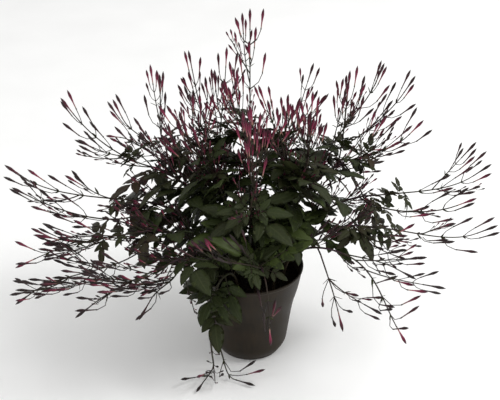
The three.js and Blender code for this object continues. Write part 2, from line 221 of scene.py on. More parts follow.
def loft(rings, stations=None, turns=None, tint=0.5, material=0):
    """Closed bodies through rings of points: neighbouring rings are joined by quads, and a fan of triangles
    to the middle of the first and last ring closes the ends. rings is (bodies, rings, points round, 3). The
    map holds the turn round a ring and the station along the body, both from 0 to 1. tint is one number for
    each body, and material is one for all faces or one for each step round."""
    bodies, count, around, _ = rings.shape
    stations = np.linspace(0, 1, count) if stations is None else stations
    turns = np.linspace(0, 1, around + 1) if turns is None else turns
    ends = np.stack([rings[:, 0].mean(axis=1), rings[:, -1].mean(axis=1)], axis=1)
    points = np.concatenate([rings.reshape(bodies, -1, 3), ends], axis=1)
    k = np.arange(around)
    following = (k + 1) % around
    i = np.arange(count - 1)[:, None] * around
    quads = np.stack([i + k, i + following, i + around + following, i + around + k], axis=-1).reshape(-1, 4)
    last = (count - 1) * around
    first_fan = np.stack([np.full(around, count * around), following, k], axis=-1)
    last_fan = np.stack([np.full(around, count * around + 1), last + k, last + following], axis=-1)
    faces = np.concatenate([quads.reshape(-1), first_fan.reshape(-1), last_fan.reshape(-1)])
    middle = (turns[k] + turns[k + 1]) / 2
    quad_turn = np.broadcast_to(
        np.stack([turns[k], turns[k + 1], turns[k + 1], turns[k]], axis=-1), (count - 1, around, 4)
    )
    low, high = stations[:-1, None], stations[1:, None]
    quad_station = np.broadcast_to(np.stack([low, low, high, high], axis=-1), (count - 1, around, 4))
    turn = np.concatenate([
        quad_turn.reshape(-1),
        np.stack([middle, turns[k + 1], turns[k]], axis=-1).reshape(-1),
        np.stack([middle, turns[k], turns[k + 1]], axis=-1).reshape(-1),
    ])
    station = np.concatenate([quad_station.reshape(-1), np.repeat([stations[0], stations[-1]], 3 * around)])
    offset = np.arange(bodies)[:, None] * points.shape[1]
    return {
        "points": points.reshape(-1, 3),
        "corners": (faces + offset).reshape(-1),
        "sizes": np.tile(np.repeat([4, 3], [len(quads), 2 * around]), bodies),
        "map": np.tile(np.stack([turn, station], axis=-1), (bodies, 1)),
        "tint": np.repeat(np.broadcast_to(tint, bodies), points.shape[1]),
        "material": np.tile(np.broadcast_to(material, (count + 1, around)).reshape(-1), bodies),
    }


def make_piece(name, shapes, materials):
    """One smooth mesh object of many closed shapes. Places come in millimetres and are kept in metres."""
    mesh = bpy.data.meshes.new(name)
    starts = np.cumsum([0] + [len(shape["points"]) for shape in shapes[:-1]])
    points = np.concatenate([shape["points"] for shape in shapes]) * mm
    corners = np.concatenate([shape["corners"] + start for shape, start in zip(shapes, starts)])
    sizes = np.concatenate([shape["sizes"] for shape in shapes])
    slots = np.concatenate([shape["material"] for shape in shapes])
    growth = np.concatenate([shape["map"] for shape in shapes])
    tints = np.concatenate([shape["tint"] for shape in shapes])
    mesh.vertices.add(len(points))
    mesh.loops.add(len(corners))
    mesh.polygons.add(len(sizes))
    mesh.vertices.foreach_set("co", points.astype(np.float32).ravel())
    mesh.loops.foreach_set("vertex_index", corners.astype(np.int32))
    mesh.polygons.foreach_set("loop_start", (np.cumsum(sizes) - sizes).astype(np.int32))
    mesh.polygons.foreach_set("loop_total", sizes.astype(np.int32))
    mesh.polygons.foreach_set("material_index", slots.astype(np.int32))
    mesh.polygons.foreach_set("use_smooth", np.ones(len(sizes), dtype=bool))
    growth_map = mesh.uv_layers.new(name="growth")
    growth_map.data.foreach_set("uv", growth.astype(np.float32).ravel())
    tint = mesh.attributes.new("tint", "FLOAT", "POINT")
    tint.data.foreach_set("value", tints.astype(np.float32))
    for material in materials:
        mesh.materials.append(material)
    mesh.update(calc_edges=True)
    mesh.validate()
    piece = bpy.data.objects.new(name, mesh)
    bpy.context.collection.objects.link(piece)
    return piece


def turned(profile, around):
    """A profile of radius and height carried round the upright axis, one ring at each of its points."""
    angle = np.arange(around) * 2 * np.pi / around
    radius, height = profile[:, 0, None], profile[:, 1, None]
    return np.stack([radius * np.cos(angle), radius * np.sin(angle), height + 0 * angle], axis=-1)[None]


def moulded_polypropylene():
    """Injection-moulded polypropylene with a fine spark-eroded grain: a soft broad gloss, rubbed duller and a
    little paler in patches 26 mm wide, with faint upright flow streaks 4 mm wide and 110 mm long."""
    material, tree, shader = new_material("moulded_polypropylene", 0.16)
    place = add_node(tree, "TexCoord").outputs["Object"]
    patches = add_node(tree, "TexNoise", inputs={"Vector": place, "Scale": cells(26.3), "Detail": 5.0})
    streak = (cells(3.85), cells(3.85), cells(111))
    upright = add_node(tree, "Mapping", inputs={"Vector": place, "Scale": streak})
    streaks = add_node(
        tree, "TexNoise", inputs={"Vector": upright.outputs["Vector"], "Scale": 1.0, "Detail": 3.0}
    )
    worn = add_node(
        tree,
        "Mix",
        {"data_type": "FLOAT"},
        {"Factor": 0.35, 2: patches.outputs["Fac"], 3: streaks.outputs["Fac"]},
    )
    colour = add_node(
        tree, "ValToRGB", inputs={"Fac": worn.outputs[0]}, stops=[(0.32, "#1d1811"), (0.62, "#2c241a")]
    )
    gloss = add_node(
        tree,
        "MapRange",
        inputs={"Value": worn.outputs[0], "From Min": 0.3, "From Max": 0.7, "To Min": 0.36, "To Max": 0.58},
    )
    # The real grain is about 0.1 mm, too fine to show, so it is drawn at 0.7 mm.
    grain = add_node(tree, "TexNoise", inputs={"Vector": place, "Scale": cells(0.714), "Detail": 2.0})
    bump = add_node(
        tree, "Bump", inputs={"Height": grain.outputs["Fac"], "Strength": 0.25, "Distance": 0.0002}
    )
    tree.links.new(colour.outputs["Color"], shader.inputs["Base Color"])
    tree.links.new(gloss.outputs["Result"], shader.inputs["Roughness"])
    tree.links.new(bump.outputs["Normal"], shader.inputs["Normal"])
    return material


pot_profile = rounded(pot_corners[:, :2], pot_corners[:, 2], corner_steps)
pot = make_piece("nursery_pot", [loft(turned(pot_profile, pot_sides))], [moulded_polypropylene()])
drain_angles = 2 * np.pi * (np.arange(drain_count) + 0.5) / drain_count
drain_places = np.stack([np.cos(drain_angles), np.sin(drain_angles), 0 * drain_angles], axis=-1) * drain_ring
drain = turned(np.array([(drain_radius, height) for height in drain_span]), drain_sides)
drains = make_piece("drain_cutter", [loft(drain + drain_places[:, None, None])], [])
cut = pot.modifiers.new("drains", "BOOLEAN")
cut.object = drains
cut.solver = "EXACT"
uncut = pot.data
pot.data = bpy.data.meshes.new_from_object(pot.evaluated_get(bpy.context.evaluated_depsgraph_get()))
pot.data.name = "nursery_pot"
pot.modifiers.clear()
bpy.data.meshes.remove(uncut)
bpy.data.objects.remove(drains)
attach(pot, "root")
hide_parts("pot")

# ---- Potting soil ----
# Damp peat, filled to a little below the rim and pressed in by hand. It is lumpy on top, with loose crumbs
# lying on it.

soil_height = 98.0
soil_radius = 57.6
soil_middle = 1.0  # radius of the innermost ring
soil_rings = 22
soil_sides = 72
lump_count = 9
lump_length = (36, 5)  # of the longest and the shortest wave
lump_rise = (1.6, 0.3)  # the same, height
lump_fade = 6.0  # the relief runs out over this width at the wall
crumb_count = 420
crumb_reach = 55.0
crumb_sides = 6
crumb_profile = np.array([(0.6, -0.8), (1, -0.2), (0.9, 0.4), (0.45, 0.85)])  # of a crumb of radius 1
crumb_radii = (0.5, 1.9)
crumb_stretch = (0.5, 1.3)  # along each axis
crumb_dent = (0.75, 1.2)  # at each corner
crumb_bed = 0.2  # height of a crumb's middle over the peat
# Radius and height of the plug's buried side in millimetres, just inside the pot's wall.
soil_side = np.array([(36.2, 3.2), (42.1, 12), (49.6, 66), (56.1, 88), (57.8, 97.2)])
scatter = np.random.default_rng(41)


def lumps(x, y):
    """Soil relief: a sum of nine crossed waves, from 36 mm long and 1.6 mm high to 5 mm long and 0.3 mm
    high."""
    turn = np.arange(lump_count) * 2.4
    length = np.geomspace(*lump_length, lump_count)
    rise = np.geomspace(*lump_rise, lump_count)
    across = x[..., None] * np.cos(turn) + y[..., None] * np.sin(turn)
    along = y[..., None] * np.cos(turn) - x[..., None] * np.sin(turn)
    wave = np.sin(2 * np.pi * across / length + turn) * np.cos(2 * np.pi * along / length * 0.8 + 2 * turn)
    return (rise * wave).sum(axis=-1)


def damp_peat():
    """Sphagnum peat: matt near-black brown with a crumb of 2 to 3 mm and rusty fibres of 4 to 5 mm."""
    material, tree, shader = new_material("damp_peat", 0.12)
    place = add_node(tree, "TexCoord").outputs["Object"]
    crumb = add_node(tree, "TexVoronoi", inputs={"Vector": place, "Scale": cells(2.38)})
    fibre = add_node(tree, "TexNoise", inputs={"Vector": place, "Scale": cells(4.55), "Detail": 6.0})
    colour = add_node(
        tree,
        "ValToRGB",
        inputs={"Fac": fibre.outputs["Fac"]},
        stops=[(0.3, "#0f0b08"), (0.55, "#1d150f"), (0.75, "#332418")],
    )
    height = add_node(
        tree, "Math", {"operation": "SUBTRACT"}, {0: fibre.outputs["Fac"], 1: crumb.outputs["Distance"]}
    )
    bump = add_node(tree, "Bump", inputs={"Height": height.outputs[0], "Strength": 0.9, "Distance": 0.0015})
    tree.links.new(colour.outputs["Color"], shader.inputs["Base Color"])
    tree.links.new(bump.outputs["Normal"], shader.inputs["Normal"])
    shader.inputs["Roughness"].default_value = 0.95
    return material


soil_radii = np.linspace(soil_radius, soil_middle, soil_rings)
soil_top = np.stack([soil_radii, np.full(soil_rings, soil_height)], axis=-1)
soil_grid = turned(np.vstack([soil_side, soil_top]), soil_sides)
surface = soil_grid[0, len(soil_side) :]
from_wall = soil_radius + 0.5 - np.hypot(surface[..., 0], surface[..., 1])
fade = np.clip(from_wall / lump_fade, 0, 1)
surface[..., 2] += fade * lumps(surface[..., 0], surface[..., 1])

crumb_radius = crumb_reach * np.sqrt(scatter.random(crumb_count))
crumb_turn = 2 * np.pi * scatter.random(crumb_count)
crumb_x, crumb_y = crumb_radius * np.cos(crumb_turn), crumb_radius * np.sin(crumb_turn)
crumb_z = soil_height + lumps(crumb_x, crumb_y) + crumb_bed
crumb_middle = np.stack([crumb_x, crumb_y, crumb_z], axis=-1)
crumb_size = scatter.uniform(*crumb_radii, (crumb_count, 1))
crumb_size = crumb_size * scatter.uniform(*crumb_stretch, (crumb_count, 3))
crumb_dents = scatter.uniform(*crumb_dent, (crumb_count, len(crumb_profile), crumb_sides, 1))
crumb_rings = turned(crumb_profile, crumb_sides) * crumb_size[:, None, None] * crumb_dents

soil = make_piece(
    "potting_soil",
    [loft(soil_grid), loft(crumb_rings + crumb_middle[:, None, None], tint=scatter.random(crumb_count))],
    [damp_peat()],
)
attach(soil, "root")
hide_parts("soil")

# ---- Leafy stems ----
# Thin twining stems, woody and brown where they leave the soil, green and flushed with purple further out.
# Each carries opposite compound leaves of three to seven broad pointed leaflets, which grew from it, and thin
# side twigs with young buds.

stem_base_radius = 1.8
stem_tip_radius = 1.1
stem_slimness = 0.86  # radius of the stem against that of the solid one, which has fewer sides
stem_rise = 3.0
stem_depth = 7.0  # how far the stem goes down into the soil
stem_steps = 6  # straight steps of the solid stem, which the solid leaves and sprays are rooted in
stem_rings = 40
stem_sides = 8
node_swelling = 0.2
node_reach = 0.02  # of a swelling, as a share of the stem
thin_sides = 5  # of leaf stalks, twigs and buds
twig_rings = 8

# Leaves, in millimetres.
first_pair = 16.0
pair_step = 17.0
small_pair = 8.8
small_pair_size = (0.4, 0.6)
leaflet_length = 27.0
leaflet_half = 7.2
end_length = 38.0
end_half = 10.0
sweep = math.radians(58)
blade_thickness = 0.36
blade_level = -0.45  # the middle of the solid blade, which is thicker
blade_rings = 8
leaf_stalk_rings = 10
leaf_stalk_radii = (0.9, 0.62, 0.4)  # where it leaves the stem, just past that, and at the end leaflet
leaf_bend = 0.008  # how the blade falls to its edges: this times the square of the way across
plant_heart = np.array([16, -38, 168])  # the greenest leaves grow here
heart_reach = 90.0
green_share = 0.42  # of a leaf's tint, and the rest is drawn

# How a leaf leaves its stem, as ranges to draw from: its swing round the stem from straight sideways, in
# radians, with what is added in every first and every second pair, how far it points along the stem, how it
# falls or rises, how far its face leans outward, its size, and its droop. Then how often it has two pairs.
leaf_swing = (-0.7, 0.7)
leaf_swing_by_turns = (-0.3, 0.5)
leaf_way_ahead = (0.2, 0.8)
leaf_fall = (-0.5, 0.2)
leaf_lean = (0.1, 1)
leaf_size = (0.82, 1.12)
leaf_droop = (0.15, 0.5)
two_pairs_chance = 0.3

# How one leaflet differs from the next, as ranges to draw from: the end one's turn and what is added to a
# side one's sweep, both in radians, and the length of a side one against leaflet_length.
end_play = (-0.12, 0.12)
sweep_play = (-0.14, 0.12)
leaflet_play = (0.9, 1.04)

# Place across the blade, face, map turn and material round one section: over the top from the right edge to
# the left, then back below. Material 1 is the upper skin and 2 the underside.
across_loop = np.array([1, 0.5, 0, -0.5, -1, -0.5, 0, 0.5])
face_loop = np.array([0, 1, 1, 1, 0, -1, -1, -1])
blade_turns = np.array([1, 0.75, 0.5, 0.25, 0, 0.25, 0.5, 0.75, 1])
blade_faces = np.array([1, 1, 1, 1, 2, 2, 2, 2])
vein_pairs = 7

# Small leaves between the pairs: the stretch of the stem they grow on, their size and their least height over
# the stem's own low.
small_leaf_stretch = (0.3, 0.98)
small_leaf_size = (0.45, 0.8)
small_leaf_clear = 10.0

# Buds. Station from root to point and radius in millimetres: side stalk, cup, tube, furled petals.
bud_length = 26.0
bud_stations = np.array([0.0, 0.5, 1.0, 1.02, 1.09, 1.35, 1.55, 1.7, 1.86, 2.0])
bud_radii = np.array([0.52, 0.46, 0.5, 0.88, 0.68, 0.8, 1.35, 1.9, 1.4, 0.08])
petal_count = 5
petal_slot = 3

# How a side bud leaves its branch, as ranges to draw from: its place round the branch, in radians, its
# stalk, and how far the stalk and then the bud lean away from the branch. Every second pair is turned, slack
# adds to the stalk, and a bud turns up.
bud_play = (-0.55, 0.55)
bud_stalk = (14, 23)
bud_way_out = (0.6, 1)
bud_way_ahead = (0.12, 0.42)
bud_turn = 1.25
bud_slack = 14.0
bud_lift = 0.3

# Side twigs: the stretch of a branch they grow on, and how far they lean away from it, first and then.
twig_stretch = 0.55
twig_way_out = (0.5, 1.0)
twig_way_ahead = (0.2, 0.5)

# Those with young buds: where they begin on a stem, their reach, rise and radii, where their buds stand, and
# how short these and their stalks still are.
young_twigs_from = 0.43
young_twig_reach = (18, 60)
young_twig_rise = (-0.5, 0.6)
young_twig_radii = (0.8, 0.5)
young_bud_places = (0.3, 0.5, 0.7, 0.9)
young_bud_stalk = (0.1, 0.35)
young_bud_length = (6, 15)
young_bud_tint = 0.8

# The growth rule is tried with one seed after another, and each leaf and bud stands where a try gave it to
# the solid. Later tries of a leaf are smaller.
leaf_tries = 30
full_size_tries = 6
late_leaf_size = 0.85
seed_stem = 7919
seed_item = 131
seed_look = 77
seed_filling = 55
corner_play = 0.05  # a tip this near to a corner of the solid is that corner
up = np.array([0.0, 0.0, 1.0])

# The stems in millimetres. root: on the soil. tip: where the wood ends. lift: climb before it arches over, by
# way of over where that is set. leaves: pairs, and the stretch they grow on. low: the height that the small
# leaves stay above. filling: pairs of small leaves. twigs: side twigs with young buds. sprays: place along
# the stem, where the end bud's point is, its side twigs, and the least place of those along it.
# spray_leaves: pairs of small leaves at the root of each spray, three where it isn't set.
stems = {
    "left": {
        "root": (-40, 4), "tip": (-138, 6, 200), "lift": 62, "leaves": (4, 0.25, 0.9),
        "low": 118, "filling": 4, "twigs": 9,
        "sprays": [(1, (-281, 0, 250), 1, 0.02), (0.8, (-272, -20, 232), 0, 0.02)],
    },
    "left_high": {
        "root": (-34, 20), "tip": (-122, 50, 222), "lift": 80, "leaves": (4, 0.3, 0.9),
        "low": 118, "filling": 3, "twigs": 9,
        "sprays": [(1, (-221, 60, 307), 1, 0.02), (0.82, (-164, 92, 290), 0, 0.02)],
    },
    "left_low": {
        "root": (-38, -15), "tip": (-128, -44, 186), "lift": 55, "leaves": (4, 0.22, 0.9),
        "low": 140, "filling": 2, "twigs": 14,
        "sprays": [
            (1, (-267, -70, 155), 3, 0.3), (0.84, (-264, -104, 128), 4, 0.3),
            (0.7, (-240, -40, 168), 0, 0.02),
        ],
    },
    "front_left": {
        "root": (-30, -30), "tip": (-92, -86, 170), "lift": 48, "leaves": (3, 0.25, 0.8),
        "low": 140, "filling": 2, "twigs": 15,
        "sprays": [(1, (-192, -140, 135), 5, 0.2), (0.84, (-122, -138, 131), 3, 0.2)],
    },
    "trailing": {
        "root": (-14, -42), "tip": (-44, -58, 14), "lift": 62, "leaves": (4, 0.24, 0.72),
        "low": 60, "filling": 2, "twigs": 1, "over": (-58, -96, 154),
        "sprays": [(1, (-63, -104, 4), 0, 0.3), (0.88, (6, -92, 4), 0, 0.3)],
    },
    "front": {
        "root": (6, -41), "tip": (16, -96, 160), "lift": 54, "leaves": (3, 0.15, 0.65),
        "low": 130, "filling": 3, "twigs": 0,
        "sprays": [(1, (24, -100, 68), 0, 0.3), (0.78, (-64, -125, 226), 2, 0.02)],
    },
    "front_right": {
        "root": (28, -32), "tip": (104, -86, 184), "lift": 58, "leaves": (1, 0.12, 0.12),
        "low": 140, "filling": 0, "twigs": 4, "spray_leaves": 0,
        "sprays": [
            (1, (178, -112, 79), 2, 0.1), (0.88, (185, -102, 161), 0, 0.02),
            (0.74, (103, -138, 115), 1, 0.2),
        ],
    },
    "right_low": {
        "root": (40, -13), "tip": (138, -34, 188), "lift": 55, "leaves": (3, 0.3, 0.85),
        "low": 145, "filling": 0, "twigs": 7,
        "sprays": [(1, (283, -42, 195), 0, 0.02), (0.84, (170, -92, 208), 1, 0.02)],
    },
    "right": {
        "root": (42, 6), "tip": (146, 14, 202), "lift": 64, "leaves": (4, 0.28, 0.9),
        "low": 118, "filling": 1, "twigs": 8,
        "sprays": [(1, (282, 22, 240), 1, 0.02), (0.88, (263, -6, 210), 0, 0.02)],
    },
    "right_high": {
        "root": (35, 24), "tip": (124, 56, 228), "lift": 80, "leaves": (4, 0.3, 0.88),
        "low": 118, "filling": 2, "twigs": 6,
        "sprays": [(1, (203, 50, 283), 2, 0.02), (0.84, (117, 80, 333), 1, 0.02)],
    },
    "back_right": {
        "root": (25, 35), "tip": (108, 104, 216), "lift": 72, "leaves": (3, 0.25, 0.75),
        "low": 118, "filling": 2, "twigs": 6,
        "sprays": [
            (1, (200, 122, 307), 1, 0.02), (0.86, (160, 108, 330), 1, 0.02),
            (0.72, (172, 152, 190), 1, 0.02),
        ],
    },
    "back": {
        "root": (8, 42), "tip": (38, 128, 206), "lift": 66, "leaves": (3, 0.25, 0.75),
        "low": 118, "filling": 5, "twigs": 6,
        "sprays": [(1, (85, 165, 268), 2, 0.02), (0.84, (58, 222, 178), 2, 0.02)],
    },
    "back_left": {
        "root": (-12, 41), "tip": (-45, 120, 214), "lift": 70, "leaves": (3, 0.25, 0.75),
        "low": 118, "filling": 5, "twigs": 8,
        "sprays": [
            (1, (-75, 150, 328), 2, 0.02), (0.86, (-28, 142, 336), 2, 0.02),
            (0.72, (-72, 215, 190), 0, 0.02),
        ],
    },
    "left_back": {
        "root": (-26, 34), "tip": (-94, 86, 220), "lift": 72, "leaves": (3, 0.28, 0.8),
        "low": 118, "filling": 4, "twigs": 7,
        "sprays": [(1, (-113, 130, 311), 1, 0.02), (0.82, (-182, 148, 212), 1, 0.02)],
    },
    "crown": {
        "root": (0, 16), "tip": (0, 54, 264), "lift": 95, "leaves": (4, 0.2, 0.85),
        "low": 118, "filling": 7, "twigs": 11,
        "sprays": [(1, (0, 80, 410), 2, 0.3), (0.88, (-20, 62, 345), 3, 0.02)],
    },
    "crown_left": {
        "root": (-16, 4), "tip": (-52, 14, 236), "lift": 80, "leaves": (4, 0.2, 0.88),
        "low": 118, "filling": 7, "twigs": 11,
        "sprays": [(1, (-58, 40, 322), 2, 0.02), (0.84, (-84, 12, 300), 1, 0.02)],
    },
    "crown_right": {
        "root": (17, 4), "tip": (56, 6, 232), "lift": 80, "leaves": (5, 0.2, 0.95),
        "low": 118, "filling": 5, "twigs": 7,
        "sprays": [(1, (70, 40, 300), 4, 0.1), (0.84, (30, 8, 320), 3, 0.35)],
    },
    "crown_front": {
        "root": (0, -16), "tip": (0, -46, 214), "lift": 72, "leaves": (4, 0.15, 0.9),
        "low": 140, "filling": 6, "twigs": 7,
        "sprays": [(1, (16, -32, 314), 6, 0.4)],
    },
    "heart": {
        "root": (22, -14), "tip": (50, -40, 188), "lift": 66, "leaves": (3, 0.3, 0.85),
        "low": 122, "filling": 5, "twigs": 0,
        "sprays": [],
    },
}  # fmt: skip


def unit(vector):
    """The same direction, one long."""
    return vector / np.linalg.norm(vector, axis=-1, keepdims=True)


def turned_about(vector, axis, angle):
    """Rodrigues' turn: v cos a + (axis x v) sin a + axis (axis . v)(1 - cos a)."""
    along = axis * (axis @ vector) * (1 - math.cos(angle))
    return vector * math.cos(angle) + np.cross(axis, vector) * math.sin(angle) + along


def bezier(arch, t):
    """Points of a cubic arch: (1-t)^3 a + 3(1-t)^2 t b + 3(1-t)t^2 c + t^3 d."""
    a, b, c, d = arch
    t = np.asarray(t)[:, None]
    return (1 - t) ** 3 * a + 3 * (1 - t) ** 2 * t * b + 3 * (1 - t) * t**2 * c + t**3 * d


def draws(seed):
    """A repeatable stream of numbers, from 0 to 1 unless told: a counter that takes odd steps is mixed by
    multiplying and shifting, and divided by 2^32."""
    state = seed

    def draw(low=0.0, high=1.0):
        nonlocal state
        state = (state + 0x6D2B79F5) & 0xFFFFFFFF
        mixed = ((state ^ (state >> 15)) * (state | 1)) & 0xFFFFFFFF
        mixed = ((mixed + ((mixed ^ (mixed >> 7)) * (mixed | 61))) ^ mixed) & 0xFFFFFFFF
        return low + (high - low) * (mixed ^ (mixed >> 14)) / 4294967296

    return draw


def stem_arch(row):
    """The four points of a stem's arch: just above the soil, straight up from there by its lift, out over the
    mound at 0.6 of the way out and a little above the line to the tip, and the tip."""
    foot = np.array([*row["root"], soil_height + stem_rise])
    end = np.array(row["tip"], dtype=float)
    climb = foot + row["lift"] * up
    reach = (end - foot) * (1, 1, 0)
    over = end - 0.4 * reach
    over[2] = climb[2] + (end[2] - climb[2]) * 0.75 + 0.12 * np.linalg.norm(reach)
    return foot, climb, np.array(row.get("over", over), dtype=float), end


def outward_of(arch):
    """The level direction from a stem's foot to its tip."""
    return unit((arch[3] - arch[0]) * (1, 1, 0))


def step_point(arch, steps, along):
    """A point and the direction on the straight steps between evenly drawn points of an arch."""
    corners = bezier(arch, np.linspace(0, 1, steps + 1))
    step = min(int(along * steps), steps - 1)
    part = along * steps - step
    return corners[step] * (1 - part) + corners[step + 1] * part, unit(corners[step + 1] - corners[step])


def curve_point(arch, along):
    """A point and the direction on the smooth arch itself."""
    near = bezier(arch, [along - 0.005, along, along + 0.005])
    return near[1], unit(near[2] - near[0])


def rod_rings(paths, radii, around):
    """Rings round paths: point + radius (cos a s + sin a w), with s square to the path and to the world axis
    that it follows least, and w = path x s. paths is (bodies, rings, 3)."""
    ahead = unit(np.gradient(paths, axis=1))
    least = np.abs(ahead).max(axis=1).argmin(axis=1)
    side = unit(np.cross(ahead, np.eye(3)[least][:, None]))
    other = np.cross(ahead, side)
    angle = np.arange(around)[:, None] * 2 * np.pi / around
    spoke = np.cos(angle) * side[:, :, None] + np.sin(angle) * other[:, :, None]
    return paths[:, :, None] + np.broadcast_to(radii, paths.shape[:2])[:, :, None, None] * spoke


def stem_shape(arch, leaves):
    """A stem as one rod. Its radius falls evenly from foot to tip, times 1 + 0.2 e^-(d / 0.02)^2 at d from
    each pair of leaves, so it swells by a fifth there."""
    pairs, first, last = leaves
    along = np.linspace(0, 1, stem_rings)
    path = np.vstack([[arch[0] - (stem_rise + stem_depth) * up], bezier(arch, along)])
    radius = stem_base_radius + (stem_tip_radius - stem_base_radius) * along
    nodes = np.linspace(first, last, pairs)
    swelling = node_swelling * np.exp(-(((along[:, None] - nodes) / node_reach) ** 2)).sum(axis=1)
    radius = np.concatenate([[stem_base_radius], radius * (1 + swelling)]) * stem_slimness
    return loft(rod_rings(path[None], radius[None], stem_sides), stations=np.concatenate([[0], along]))


def leaf_rule(start, tangent, outward, pair, side, draw):
    """A leaf by the growth rule: it swings out sideways from the stem by drawn angles, one pair this way and
    the next that way, and its face leans outward."""
    level = unit(np.cross(tangent, up))
    swing = draw(*leaf_swing) + leaf_swing_by_turns[pair % 2]
    ahead = turned_about(level * side, tangent, side * swing) + tangent * draw(*leaf_way_ahead)
    ahead[2] += draw(*leaf_fall)
    ahead = unit(ahead)
    across = unit(np.cross(up + outward * draw(*leaf_lean), ahead))
    axes = np.array([ahead, across, np.cross(ahead, across)])
    leaf = {"start": start, "axes": axes, "size": draw(*leaf_size)}
    return leaf | {"pairs": 2 if draw() < two_pairs_chance else 1, "droop": draw(*leaf_droop)}


def leaf_reach(leaf):
    """From the stem to the tip: past the pairs, half a step to the end leaflet, and along that."""
    return (first_pair + (leaf["pairs"] - 0.5) * pair_step + end_length) * leaf["size"]


def arched(leaf, x, y, lift):
    """Leaf places in the world: start + x ahead + y across + z face, with z = lift - droop x^2 / reach
    - bend y^2."""
    z = lift - leaf["droop"] * x**2 / leaf_reach(leaf) - leaf_bend * y**2
    return leaf["start"] + np.stack([x, y, z], axis=-1) @ leaf["axes"]


def leaf_tip(leaf):
    """The point of the end leaflet."""
    return arched(leaf, np.array(leaf_reach(leaf)), np.array(0.0), 0.0)


def leaflet(leaf, base, turn, length, half, bend):
    """One leaflet's rings. Half width is half * 2.75 u^0.6 (1-u)^0.9 at u along the midrib, so it is widest
    at 0.4 and ends in a point. The halves rise from the sunken midrib, and the edges wave a little."""
    u = np.linspace(0, 1, blade_rings)[:, None]
    width = np.maximum(half * 2.75 * u**0.6 * (1 - u) ** 0.9, 0.3 - 0.28 * u)
    v = across_loop
    along = u * length
    aside = v * width + half * 0.25 * np.sin(np.pi * u) * bend
    x = base[0] + along * math.cos(turn) - aside * math.sin(turn)
    y = base[1] + along * math.sin(turn) + aside * math.cos(turn)
    body = 0.5 * blade_thickness * face_loop * (1 - np.abs(v)) * np.minimum(1, 12 * u * (1 - u) + 0.4)
    fold = width * (0.34 * np.abs(v) - 0.2 * v**2)
    wave = 0.1 * width * np.abs(v) * np.sin(5 * np.pi * u + 3 * bend + 2 * v)
    keel = np.where((v == 0) & (face_loop < 0), 0.3 * (1 - u), 0)
    return arched(leaf, x, y, blade_level + fold + wave + body - keel)


def leaf_shapes(leaf, draw):
    """A whole leaf: its stalk, its leaflets two and two, a small pair nearest the stem, and the end leaflet.
    It is greener near the heart of the plant, by 1.5 - d / 90 at d from it, where depth counts for 0.6, and
    bronze further out to the sides."""
    size = leaf["size"]
    green = np.clip(1.5 - np.linalg.norm((leaf["start"] - plant_heart) * (1, 0.6, 1)) / heart_reach, 0, 1)
    tint = (1 - green_share) * draw() + green_share * green
    end = (first_pair + (leaf["pairs"] - 0.5) * pair_step) * size
    stalk_x = np.linspace(-1.0, end + 2, leaf_stalk_rings)
    stalk = arched(leaf, stalk_x, 0 * stalk_x, blade_level)
    stalk_radius = np.interp(stalk_x, [0, 3, end], leaf_stalk_radii) * min(1, size + 0.2)
    blades = [leaflet(leaf, (end, 0), draw(*end_play), end_length * size, end_half * size, draw(-1, 1))]
    pair_places = [(small_pair, draw(*small_pair_size))]
    pair_places += [(first_pair + i * pair_step, 1) for i in range(leaf["pairs"])]
    for place, share in pair_places:
        for side in (-1, 1):
            turn = side * (sweep + draw(*sweep_play))
            length = leaflet_length * size * share * draw(*leaflet_play)
            base = (place * size, side * 0.4)
            blades.append(leaflet(leaf, base, turn, length, leaflet_half * size * share, draw(-1, 1)))
    return [
        loft(rod_rings(stalk[None], stalk_radius[None], thin_sides), tint=tint),
        loft(np.stack(blades), turns=blade_turns, tint=tint, material=blade_faces),
    ]


def heart_growth(start):
    """How much larger the small leaves grow high near the plant's axis: 1 + 0.5 a b, with a = 1.3 - r / 80
    and b = (z - 170) / 40, which both stay from 0 to 1."""
    inward = np.clip(1.3 - np.hypot(start[0], start[1]) / 80, 0, 1)
    return 1 + 0.5 * inward * np.clip((start[2] - 170) / 40, 0, 1)


def small_leaves(arch, outward, count, stretch, sizes, heights, draw, pairs=None):
    """Small leaves by the growth rule, two and two at drawn places of a stretch of an arch. One whose tip is
    outside the heights is left out. pairs sets how many pairs of leaflets each has."""
    shapes = []
    for pair in range(count):
        start, tangent = curve_point(arch, draw(*stretch))
        for side in (-1, 1):
            leaf = leaf_rule(start, tangent, outward, pair, side, draw)
            leaf["size"] *= draw(*sizes) * heart_growth(start)
            leaf["pairs"] = pairs or leaf["pairs"]
            if heights[0] < leaf_tip(leaf)[2] < heights[1]:
                shapes += leaf_shapes(leaf, draw)
    return shapes


def twig_arch(start, tangent, reach, rise, draw):
    """The four points of a side twig: out at a drawn angle, then along the branch that carries it, or up by
    rise."""
    radial = turned_about(unit(np.cross(tangent, up)), tangent, draw(0, 2 * math.pi))
    out = unit(tangent + radial * draw(*twig_way_out))
    ahead = unit(tangent + radial * draw(*twig_way_ahead) + up * rise)
    end = start + unit(out + 1.5 * ahead) * reach
    return start, start + out * 0.35 * reach, end - ahead * 0.35 * reach, end


def bud_rule(start, tangent, item, slack, draw):
    """A side bud by the growth rule: its stalk leaves the branch by drawn angles, and the bud turns up along
    it, or outwards where the branch hangs down. Pairs stand crosswise, and slack lets a stalk grow longer."""
    around = math.pi * (item % 2) + bud_turn * (item // 2 % 2) + draw(*bud_play)
    radial = turned_about(unit(np.cross(tangent, up)), tangent, around)
    stalk = draw(*bud_stalk) + bud_slack * slack * draw()
    out = unit(tangent + radial * draw(*bud_way_out))
    ahead = unit(tangent + radial * draw(*bud_way_ahead) + up * (bud_lift - min(tangent[2], 0)))
    return {"start": start, "out": out, "ahead": ahead, "stalk": stalk, "length": bud_length}


def bud_point(bud):
    """Where a bud ends."""
    return bud["start"] + bud["out"] * bud["stalk"] + bud["ahead"] * bud["length"]


